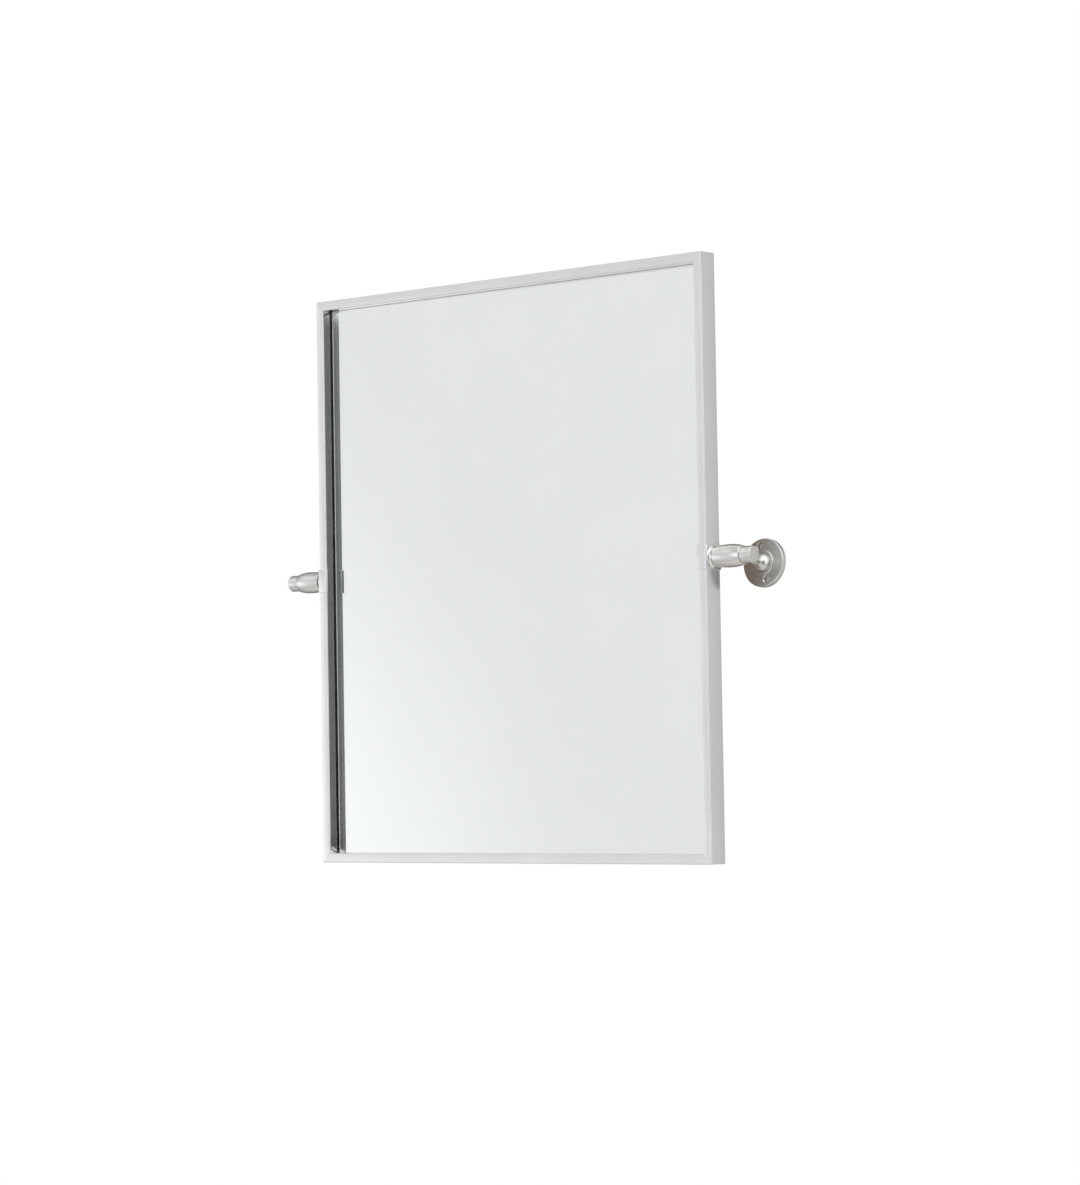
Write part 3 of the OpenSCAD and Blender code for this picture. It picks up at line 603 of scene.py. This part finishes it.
class MIRROR_OT_rails(bpy.types.Operator):
    """Four mitred rails with eased edges, and the keys inside their corners"""

    bl_idname = "mirror.rails"
    bl_label = "Rails"

    def execute(self, context):
        """The outline runs in (distance from the outer face, y): lip, rounded foot, step and rear leg."""
        s, f = settings()
        lip = HALF_W - RAIL_LO[X]
        front, back, step = RAIL_LO[Y], RAIL_HI[Y], TAPE_LO[Y]
        foot_depth, foot_width, step_fillet = 0.7 * MM, 2.1 * s.inner_edge, 0.1 * MM
        foot, heel = step + foot_depth, lip - foot_width
        outline = rounded(
            [(0, front), (lip, front), (lip, foot), (heel, foot), (heel, step)]
            + [(s.leg_width, step), (s.leg_width, back), (0, back)],
            [s.lip_radius, s.lip_radius, s.inner_edge, 0, 0, step_fillet, s.rear_radius, s.rear_radius],
            steps=8,
        )
        upright = straight_nickel("Satin nickel, upright rails", f.frame_nickel, 0.21, along=Z)
        level = straight_nickel("Satin nickel, level rails", f.frame_nickel, 0.20, along=X)
        for name, side, stands, metal in (
            ("right_rail", 1, True, upright),
            ("left_rail", -1, True, upright),
            ("top_rail", 1, False, level),
            ("bottom_rail", -1, False, level),
        ):
            shell = bar(self.rail(outline, s.mitre_edge, side, stands))
            make_piece(name + "_skin", [shell], "mirror", metal, [name])
        finish_nodes(cut_aluminium("Sawn aluminium"), *corner_keys("top"), *corner_keys("bottom"))
        return {"FINISHED"}

    def rail(self, outline, chamfer, side, stands):
        """Rings of the outline along the rail; a point u from the outer face ends at half - u.

        The first and last ring are a smaller outline, which makes the mitre's chamfer.
        """
        rings = 25
        small = inset(outline, chamfer)
        half, out = (HALF_H, HALF_W) if stands else (HALF_W, HALF_H)
        u = np.repeat(outline[None, :, 0], rings + 2, 0)
        y = np.repeat(outline[None, :, 1], rings + 2, 0)
        along = np.empty_like(u)
        along[1:-1] = np.linspace(-1, 1, rings)[:, None] * (half - outline[None, :, 0] - chamfer)
        u[[0, -1]], y[[0, -1]] = small[:, 0], small[:, 1]
        along[0], along[-1] = small[:, 0] - half, half - small[:, 0]
        across = side * (out - u)
        return np.stack([across, y, along] if stands else [along, y, across], -1)


class MIRROR_OT_saddles(bpy.types.Operator):
    """Bent strap round each side rail, with the flared neck that stands on it"""

    bl_idname = "mirror.saddles"
    bl_label = "Saddles"

    def execute(self, context):
        """The neck's side is an arc that is level with the axis at its end face and flares to its foot."""
        s, f = settings()
        metal = straight_nickel("Satin nickel, saddles", f.frame_nickel, 0.20, along=Y)
        t = s.strap
        inner, outer = SADDLE_LO[X] + t / 2, HALF_W + t / 2
        front, back = RAIL_LO[Y] - t / 2, RAIL_HI[Y] + t / 2
        inner_bend, outer_bend = 0.95 * MM, s.strap_bend - t / 2
        line = rounded(
            [(inner, front + t / 2 + s.strap_return), (inner, front), (outer, front), (outer, back)]
            + [(HALF_W - s.leg_width, back)],
            [0, inner_bend, outer_bend, outer_bend, 0],
            steps=10,
            closed=False,
        )
        strap = bent_strip(line, t, SADDLE_HI[Z] - SADDLE_LO[Z], s.strap_edge)
        foot_x, end_x = HALF_W + t, SADDLE_HI[X]
        run = end_x - foot_x
        big = arc_radius(run, s.neck_foot - s.neck_end)
        a = np.linspace(np.pi, np.pi + math.asin(min(1.0, run / big)), 16)
        flare = np.stack([s.neck_end + big + big * np.cos(a), end_x + big * np.sin(a)], -1)
        bore, bore_ease, buried = 5.05 * MM, 0.2 * MM, 0.4 * MM
        rim, rim_middle = 0.3 * MM, 0.09 * MM
        weld, weld_height = 0.1 * MM, 0.02 * MM
        # The rim stands in for the flare's first two points
        profile = np.concatenate(
            [
                [(bore, foot_x - buried), (bore, end_x - bore_ease), (bore + bore_ease, end_x)],
                [(s.neck_end - rim, end_x), (s.neck_end - rim_middle, end_x - rim_middle)],
                flare[2:],
                [(s.neck_foot + weld, foot_x - weld_height), (s.neck_foot, foot_x - buried)],
            ]
        )
        shells = [bar(strap), ring_shell(turned(profile, (0, 0, 0), (1, 0, 0)))]
        make_pair("saddle_skin", "saddle", shells, "mirror", metal)
        return {"FINISHED"}


class MIRROR_OT_barrels(bpy.types.Operator):
    """Swelling barrel on each side, and the cap that closes its outer end"""

    bl_idname = "mirror.barrels"
    bl_label = "Barrels and end caps"

    def execute(self, context):
        s, f = settings()
        metal = turned_nickel("Satin nickel, turned barrels", f.fitting_nickel, 0.24)
        make_pair("barrel_skin", "barrel", [ring_shell(self.barrel(s))], "wall_brackets", metal)
        metal = turned_nickel("Satin nickel, turned caps", f.fitting_nickel, 0.20)
        make_pair("cap_skin", "end_cap", [solid_turning(self.cap(s))], "wall_brackets", metal)
        return {"FINISHED"}

    def barrel(self, s):
        """Swelling side with two rounded rims, a wide bore, and a narrow one in the inner end's wall."""
        x0, x1 = BARREL_LO[X], BARREL_HI[X]
        bore, narrow, wall, bore_ease = 8.0 * MM, 6.5 * MM, 8.0 * MM, 0.15 * MM
        side = bulge(x0, x1, x0 + s.barrel_peak, s.barrel_inner, s.barrel_max, s.barrel_outer)
        # The rims' arcs stand in for the points of the side before near and after far
        near, far = 4, -5
        radii = [0, s.barrel_rim, 0]
        inner_rim = rounded([(narrow, x0), side[0], side[near]], radii, steps=8, closed=False)
        outer_rim = rounded([side[far], side[-1], (bore, x1)], radii, steps=8, closed=False)
        inside = [(bore + bore_ease, x1), (bore, x1 - bore_ease), (bore, x0 + wall), (narrow, x0 + wall)]
        profile = np.concatenate([inner_rim[:-1], side[near:far], outer_rim[:-1], inside])
        return turned(profile, (0, 0, 0), (1, 0, 0))

    def cap(self, s):
        """Cap with a rounded edge and a groove where it meets the barrel, and the spigot inside it."""
        r, spigot = CAP_HI[Z], 7.95 * MM
        start, end, mouth = CAP_LO[X], CAP_HI[X], BARREL_HI[X]
        seam = mouth + s.cap_groove
        groove_depth, groove_edge, spigot_edge = 0.4 * MM, 0.1 * MM, 0.3 * MM
        profile = rounded(
            [(0, end), (r, end), (r, seam), (r - groove_depth, seam), (r - groove_depth, mouth)]
            + [(spigot, mouth), (spigot, start), (0, start)],
            [0, s.cap_edge, groove_edge, 0, 0, 0, spigot_edge, 0],
            steps=10,
            closed=False,
        )
        return turned(profile, (0, 0, 0), (1, 0, 0))


class MIRROR_OT_posts(bpy.types.Operator):
    """Straight post behind each barrel, with its collar and the dome at its foot"""

    bl_idname = "mirror.posts"
    bl_label = "Posts"

    def execute(self, context):
        """Profile: pin, collar, a quarter hollow, shaft, a hollow tangent to shaft and dome, dome."""
        s, f = settings()
        metal = plated_steel("Satin nickel, cast posts", f.fitting_nickel, 0.26, spangle=900.0)
        pin, pin_start, collar_start, sunk = 3.0 * MM, 8.3 * MM, 9.4 * MM, 1.5 * MM
        base = [(0, pin_start), (pin, pin_start), (pin, collar_start), (s.collar, collar_start)]
        edge, edge_middle, edge_rise = 0.25 * MM, 0.07 * MM, 0.02 * MM
        rim = [(s.collar, s.collar_end - edge), (s.collar - edge_middle, s.collar_end - edge_middle)]
        rim += [(s.collar - edge, s.collar_end + edge_rise)]
        a = np.linspace(0, np.pi / 2, 12)[:, None]
        hollow = s.collar - s.post
        neck = np.array([s.collar, s.collar_end + hollow]) - hollow * np.hstack([np.sin(a), np.cos(a)])
        reach, out = s.dome + s.post_cove, s.post + s.post_cove
        drop = math.sqrt(reach**2 - out**2)
        meet = math.atan2(drop, out)
        b = np.linspace(0, meet, 10)[:, None]
        cove = np.array([out, PLATE_FACE - drop]) + s.post_cove * np.hstack([-np.cos(b), np.sin(b)])
        c = np.linspace(math.pi / 2 - meet, math.pi / 2 + math.asin(sunk / s.dome), 30)[1:, None]
        dome = np.array([0, PLATE_FACE]) + s.dome * np.hstack([np.sin(c), -np.cos(c)])
        # The rim stands in for the neck's first two points
        profile = np.concatenate([base, rim, neck[2:], cove, dome, [(0, PLATE_FACE + sunk)]])
        shells = [solid_turning(turned(profile, (POST_X, 0, 0), (0, 1, 0)))]
        make_pair("post_skin", "post", shells, "wall_brackets", metal)
        return {"FINISHED"}


class MIRROR_OT_plates(bpy.types.Operator):
    """Finish of the round wall plates"""

    bl_idname = "mirror.plates"
    bl_label = "Wall plates"

    def execute(self, context):
        f = settings()[1]
        metal = turned_nickel("Satin nickel, wall plates", f.fitting_nickel, 0.33, about_x=False)
        finish_nodes(metal, *pair("wall_plate"))
        return {"FINISHED"}


class MIRROR_OT_screws(bpy.types.Operator):
    """Wall screws with a crossed recess and a real thread"""

    bl_idname = "mirror.screws"
    bl_label = "Wall screws"

    def execute(self, context):
        s, f = settings()
        metal = plated_steel("Nickel plate, wall screws", f.screw_nickel, 0.11, spangle=1200.0)
        head_y = PLATE_FACE + s.screw_sink
        offset = (SCREW_HI - SCREW_LO) / 2 - s.screw_head
        shells = []
        for sign in (1, -1):
            centre = POST_X - sign * offset[X], sign * offset[Z]
            shells.append(solid_turning(self.head(s, centre, head_y)))
            shells.append(solid_turning(self.shank(s, centre, head_y, SCREW_HI[Y])))
        make_pair("screws_skin", "wall_screws", shells, "wall_brackets", metal, sharp=40)
        return {"FINISHED"}

    def head(self, s, centre, y0):
        """Countersunk head on a polar grid.

        The top is a shallow dome less a crossed recess: two slots whose depth falls evenly to
        nothing at their sides and towards their ends. A cone leads from the rim to the shank.
        """
        dome, top_ease, cross_turn = 0.12 * MM, 0.12 * MM, 0.6
        slot_half, slot_side, slot_reach, slot_end, slot_deep = (v * MM for v in (0.62, 0.2, 2.4, 0.7, 2.0))
        spokes, circles = 144, 44
        a = np.linspace(0, 2 * np.pi, spokes, endpoint=False)[None, :]
        r = (np.linspace(0, 1, circles) * (s.screw_head - top_ease))[:, None]
        x, z = r * np.cos(a), r * np.sin(a)

        def slot(across, along):
            side = np.clip((slot_half - np.abs(across)) / slot_side + 0.5, 0, 1)
            return side * np.clip((slot_reach - np.abs(along)) / slot_end, 0, 1)

        c, d = math.cos(cross_turn), math.sin(cross_turn)
        u, v = x * c + z * d, -x * d + z * c
        cut = np.maximum(slot(u, v), slot(v, u)) * slot_deep
        y = dome * (r / s.screw_head) ** 2 + cut
        top = np.stack([centre[0] + x, y0 + y, centre[1] + z], -1)
        neck, rim_top, rim_foot, rim_ease = 1.7 * MM, 0.2 * MM, 0.3 * MM, 0.1 * MM
        foot = s.screw_head - neck + rim_ease
        rim = [(s.screw_head, rim_top), (s.screw_head - rim_ease, rim_foot), (neck, foot), (0, foot)]
        rim = np.array(rim)[:, :, None]
        side = [centre[0] + rim[:, 0] * np.cos(a), y0 + rim[:, 1] + 0 * a, centre[1] + rim[:, 0] * np.sin(a)]
        return np.concatenate([top, np.stack(side, -1)])

    def shank(self, s, centre, y0, tip):
        """Plain neck, then a thread that fades to the tip.

        Its radius is the root plus the depth times a ridge of distance / pitch - angle / turn.
        """
        neck, root, depth, narrow = 1.7 * MM, 1.45 * MM, 0.62 * MM, 3.4
        inside_head, neck_end, run_in, tip_end = 1.6 * MM, 0.3 * MM, 0.8 * MM, 0.02 * MM
        taper, taper_curve = 4.5 * MM, 0.8
        around, rows = 28, 300
        a = np.linspace(0, 2 * np.pi, around, endpoint=False)[None, :]
        plain = [[y0 + inside_head], [WALL_Y - neck_end]]
        y = np.concatenate([plain, np.linspace(WALL_Y, tip - tip_end, rows)[:, None], [[tip]]])
        phase = (y / s.screw_pitch - a / (2 * np.pi)) % 1.0
        ridge = np.clip(1 - np.abs(phase - 0.5) * narrow, 0, 1)
        fade = np.clip((tip - y) / taper, 0, 1) ** taper_curve
        begin = np.clip((y - WALL_Y) / run_in, 0, 1)
        radius = (root + depth * ridge * begin) * fade
        radius[:2], radius[2], radius[-1] = neck, root, 0
        body = np.stack([centre[0] + radius * np.cos(a), y + 0 * a, centre[1] + radius * np.sin(a)], -1)
        start = body[:1].copy()
        start[..., X], start[..., Z] = centre
        return np.concatenate([start, body])


class MIRROR_OT_back(bpy.types.Operator):
    """Backing board, foam, bent clips and their screws"""

    bl_idname = "mirror.back"
    bl_label = "Back"

    def execute(self, context):
        s, f = settings()
        zinc = plated_steel("Zinc plate", f.zinc, 0.32)
        finish_nodes(pressed_board("Hardboard", f.board), "backing_board")
        finish_nodes(matt_sheet("White foam", f.foam, 1800.0, 0.8), "foam_sheet")
        finish_nodes(zinc, "clip_screws", "saddle_screws")
        clip = self.clip(s)
        u, y, w = clip[..., 0], clip[..., 1], clip[..., 2]
        shells = []
        for place in (-205, -90, 90, 205):
            for side in (-1, 1):
                shells.append(bar(np.stack([side * (HALF_W - u), y, w + place * MM], -1)))
        for place in (-130, 130):
            for side in (-1, 1):
                shells.append(bar(np.stack([w + place * MM, y, side * (HALF_H - u)], -1)))
        make_piece("board_clips_skin", shells, "mirror", zinc, ["board_clips"])
        return {"FINISHED"}

    def clip(self, s):
        """One clip: flat on the rail's back, down its inner side, and flat on the board."""
        t, wide, bend, edge = 1.0 * MM, 14.0 * MM, 0.7 * MM, 0.18 * MM
        start, reach, slack = 0.8 * MM, 8 * MM, 0.98
        rail, board, down = RAIL_HI[Y] + t / 2, BOARD_HI[Y] + t / 2, s.leg_width + t / 2
        corners = [(start, rail), (down, rail), (down, board), (s.leg_width + reach, board)]
        line = rounded(corners, [0, bend, bend, 0], steps=6, closed=False)
        return bent_strip(line, t * slack, wide, edge)


class MIRROR_OT_glass(bpy.types.Operator):
    """Glass, silvering and the black tape under the lip"""

    bl_idname = "mirror.glass"
    bl_label = "Glass"

    def execute(self, context):
        """The pane is four rings, the outer two smaller by the bevel, and its back meets the silver."""
        s, f = settings()
        bevel, overlap = 0.4 * MM, 0.03 * MM
        front, back = GLASS_LO[Y], GLASS_HI[Y] + overlap
        rings = [(front, bevel), (front + bevel, 0), (back - bevel, 0), (back, bevel)]
        corners = [(-1, -1), (1, -1), (1, 1), (-1, 1)]
        right, top = GLASS_HI[X], GLASS_HI[Z]
        pane = np.array([[(x * (right - cut), y, z * (top - cut)) for x, z in corners] for y, cut in rings])
        glass = float_glass("Float glass", f.glass)
        make_piece("glass_skin", [bar(pane)], "mirror", glass, ["mirror_glass"], smooth=False)
        finish_nodes(silvering("Silvering", f.silver), "silvering")
        black = matt_sheet("Black tape", f.tape, 900.0, 0.6)
        tapes = "top_glazing_tape", "bottom_glazing_tape", *pair("glazing_tape")
        make_piece("tape_skin", self.border(s.tape_set), "mirror", black, tapes)
        return {"FINISHED"}

    def border(self, near):
        """Four bars round the opening, from near its edge to the tape's full width, as deep as the tape."""
        x, z, wide = TAPE_LO[X], TAPE_HI[Z], TAPE_HI[X] - TAPE_LO[X]
        out, deep = np.array([near, wide, wide, near]), np.array([TAPE_LO[Y], TAPE_HI[Y]]).repeat(2)
        shells = []
        for side in (-1, 1):
            upright = [np.stack([side * (x + out), deep, np.full(4, end * z)], -1) for end in (-1, 1)]
            level = [np.stack([np.full(4, end * (x + wide)), deep, side * (z + out)], -1) for end in (-1, 1)]
            shells += [bar(np.array(upright)), bar(np.array(level))]
        return shells


class MIRROR_OT_inner(bpy.types.Operator):
    """Finishes of the pieces inside the pivots and the rails"""

    bl_idname = "mirror.inner"
    bl_label = "Inner pieces"

    def execute(self, context):
        f = settings()[1]
        zinc = plated_steel("Zinc plate, inner", f.zinc, 0.3)
        blued = plated_steel("Blued steel", f.blued, 0.35)
        polymer = matt_sheet("Dark polymer", f.polymer, 1500.0, 0.45)
        for name in ("nut_plate", "pivot_stud", "thrust_washer", "lock_nut"):
            finish_nodes(zinc, *pair(name))
        finish_nodes(blued, *pair("spring_washers"), "post_screws", "cap_set_screws")
        finish_nodes(polymer, *pair("bushing"), *pair("friction_washer"))
        return {"FINISHED"}


class MIRROR_OT_stage(bpy.types.Operator):
    """Pale floor, plain soft studio light and the camera"""

    bl_idname = "mirror.stage"
    bl_label = "Stage"

    def execute(self, context):
        self.camera(context)
        self.floor(context)
        self.world(context)
        context.scene.view_settings.view_transform = "Standard"
        return {"FINISHED"}

    def camera(self, context):
        """Pinhole camera fitted to the photograph, in the upright mirror's axes.

        It is turned to the left by yaw, up by pitch and about its own axis by roll.
        """
        yaw, pitch, roll = (math.radians(v) for v in (40.585, 2.822, -0.940))
        place, focal_pixels, picture_height = (2.450, -2.814, -0.208), 3584.0, 1185.0
        ahead = np.array([-math.sin(yaw) * math.cos(pitch), math.cos(yaw) * math.cos(pitch), math.sin(pitch)])
        right = np.array([math.cos(yaw), math.sin(yaw), 0.0])
        up = np.cross(right, ahead)
        r = right * math.cos(roll) + up * math.sin(roll)
        u = -right * math.sin(roll) + up * math.cos(roll)
        data = bpy.data.cameras.new("Camera")
        data.sensor_fit = "AUTO"
        data.sensor_width = 36.0
        data.lens = focal_pixels / picture_height * data.sensor_width
        data.clip_start, data.clip_end = 0.05, 200.0
        cam = bpy.data.objects.new("Camera", data)
        context.scene.collection.objects.link(cam)
        m = np.eye(4)
        m[:3] = TURN @ np.array([r, u, -ahead, place]).T
        cam.matrix_world = Matrix(m.tolist())
        context.scene.camera = cam

    def floor(self, context):
        """Wide level sheet, far below the hanging mirror."""
        reach, lines, level = 12, 9, -1.35
        t = np.linspace(-reach, reach, lines)
        x, y = np.meshgrid(t, t, indexing="ij")
        mesh = bpy.data.meshes.new("floor")
        points = np.stack([x, y, np.full_like(x, level)], -1).reshape(-1, 3)
        mesh.from_pydata(points, [], grid_faces(lines, lines, False, False).tolist())
        obj = bpy.data.objects.new("floor", mesh)
        context.scene.collection.objects.link(obj)
        n = Finish("Pale floor")
        matt = n.add("ShaderNodeBsdfDiffuse")
        clouds = n.remap(n.grain(2.0), 0, 1)
        n.join(n.blend(clouds, (0.80, 0.80, 0.80), (0.82, 0.82, 0.82)), matt.inputs["Color"])
        n.white_to_camera(matt, "ShaderNodeEmission")
        mesh.materials.append(n.material)
        obj.visible_glossy = False
        obj.visible_transmission = False

    def world(self, context):
        """White to the camera, and a soft studio to the object.

        The studio is the room's level, plus each wash times its lobe, and then less where a share
        is left. Directions are the upright mirror's, and a lobe goes from 0 to 1 between two cosines.
        """
        st = getattr(context.scene, STUDIO)
        world = bpy.data.worlds.new("Studio")
        context.scene.world = world
        n = Nodes(world, "ShaderNodeOutputWorld")
        way = n.add("ShaderNodeTexCoord").outputs["Generated"]

        def lobe(direction, start, end):
            """Smooth step of the cosine between a direction and the lobe's middle."""
            d = TURN @ direction
            cosine = n.vector("DOT_PRODUCT", way, tuple(d / np.linalg.norm(d)), output="Value")
            return n.remap(cosine, 0, 1, start, end, "SMOOTHSTEP")

        level, to_camera = st.room, (0.68, -0.73, 0.03)
        for direction, start, end, more in (
            ((-0.66, -0.75, 0.05), 0.70, 0.94, st.front),
            ((-0.860, -0.496, -0.122), 0.93, 0.99, st.low),
            ((-0.60, -0.45, 0.66), 0.93, 0.99, st.high),
            ((0.30, -0.15, 0.94), 0.75, 0.98, st.top),
            ((0.83, -0.39, 0.39), 0.70, 0.90, st.right),
            ((0.66, 0.75, 0.06), 0.60, 0.95, st.back),
            ((0.10, -0.10, -0.99), 0.40, 0.90, st.ground),
            ((0.03, -1.0, 0.05), 0.86, 0.97, st.facing),
        ):
            level = n.math("MULTIPLY_ADD", lobe(direction, start, end), more, level)
        for direction, start, end, left in (
            (to_camera, 0.895, 0.965, st.camera),
            ((-0.50, 0.86, 0.0), 0.32, 0.85, st.behind),
        ):
            share = n.math("MULTIPLY_ADD", lobe(direction, start, end), left - 1.0, 1.0)
            level = n.math("MULTIPLY", level, share)
        tint = (1.0, 1.0, 0.985)
        for direction, start, end, rgb in (
            ((-0.75, -0.66, 0.0), 0.60, 0.98, (0.985, 0.99, 1.0)),
            ((0.2, 0.3, -0.93), 0.30, 0.95, (1.0, 0.955, 0.90)),
            (to_camera, 0.80, 0.95, (0.945, 0.985, 1.02)),
        ):
            tint = n.blend(lobe(direction, start, end), tint, rgb)
        soft = n.add("ShaderNodeBackground")
        n.join(level, soft.inputs["Strength"])
        n.join(tint, soft.inputs["Color"])
        n.white_to_camera(soft, "ShaderNodeBackground")


class MIRROR_PT_panel(bpy.types.Panel):
    """Sidebar panel that lists the operators and the values"""

    bl_idname = "MIRROR_PT_panel"
    bl_label = "Pivot Wall Mirror"
    bl_space_type = "VIEW_3D"
    bl_region_type = "UI"
    bl_category = "Mirror"

    def draw(self, context):
        for operator in OPERATORS:
            self.layout.operator(operator.bl_idname)
        for group in (SIZES, FINISHES, STUDIO):
            column = self.layout.column()
            for key in getattr(context.scene, group).bl_rna.properties.keys():
                if key not in ("rna_type", "name"):
                    column.prop(getattr(context.scene, group), key)


GROUPS = ((SIZES, MirrorSizes), (FINISHES, MirrorFinishes), (STUDIO, MirrorStudio))
OPERATORS = (
    MIRROR_OT_rails,
    MIRROR_OT_saddles,
    MIRROR_OT_barrels,
    MIRROR_OT_posts,
    MIRROR_OT_plates,
    MIRROR_OT_screws,
    MIRROR_OT_back,
    MIRROR_OT_glass,
    MIRROR_OT_inner,
    MIRROR_OT_stage,
)


def register():
    for name, group in GROUPS:
        bpy.utils.register_class(group)
        setattr(bpy.types.Scene, name, bpy.props.PointerProperty(type=group))
    for operator in OPERATORS:
        bpy.utils.register_class(operator)
    bpy.utils.register_class(MIRROR_PT_panel)


def unregister():
    bpy.utils.unregister_class(MIRROR_PT_panel)
    for operator in reversed(OPERATORS):
        bpy.utils.unregister_class(operator)
    for name, group in reversed(GROUPS):
        delattr(bpy.types.Scene, name)
        bpy.utils.unregister_class(group)


def main():
    register()
    bpy.ops.mirror.rails()
    bpy.ops.mirror.saddles()
    bpy.ops.mirror.barrels()
    bpy.ops.mirror.posts()
    bpy.ops.mirror.plates()
    bpy.ops.mirror.screws()
    bpy.ops.mirror.back()
    bpy.ops.mirror.glass()
    bpy.ops.mirror.inner()
    bpy.ops.mirror.stage()


if __name__ == "__main__":
    main()
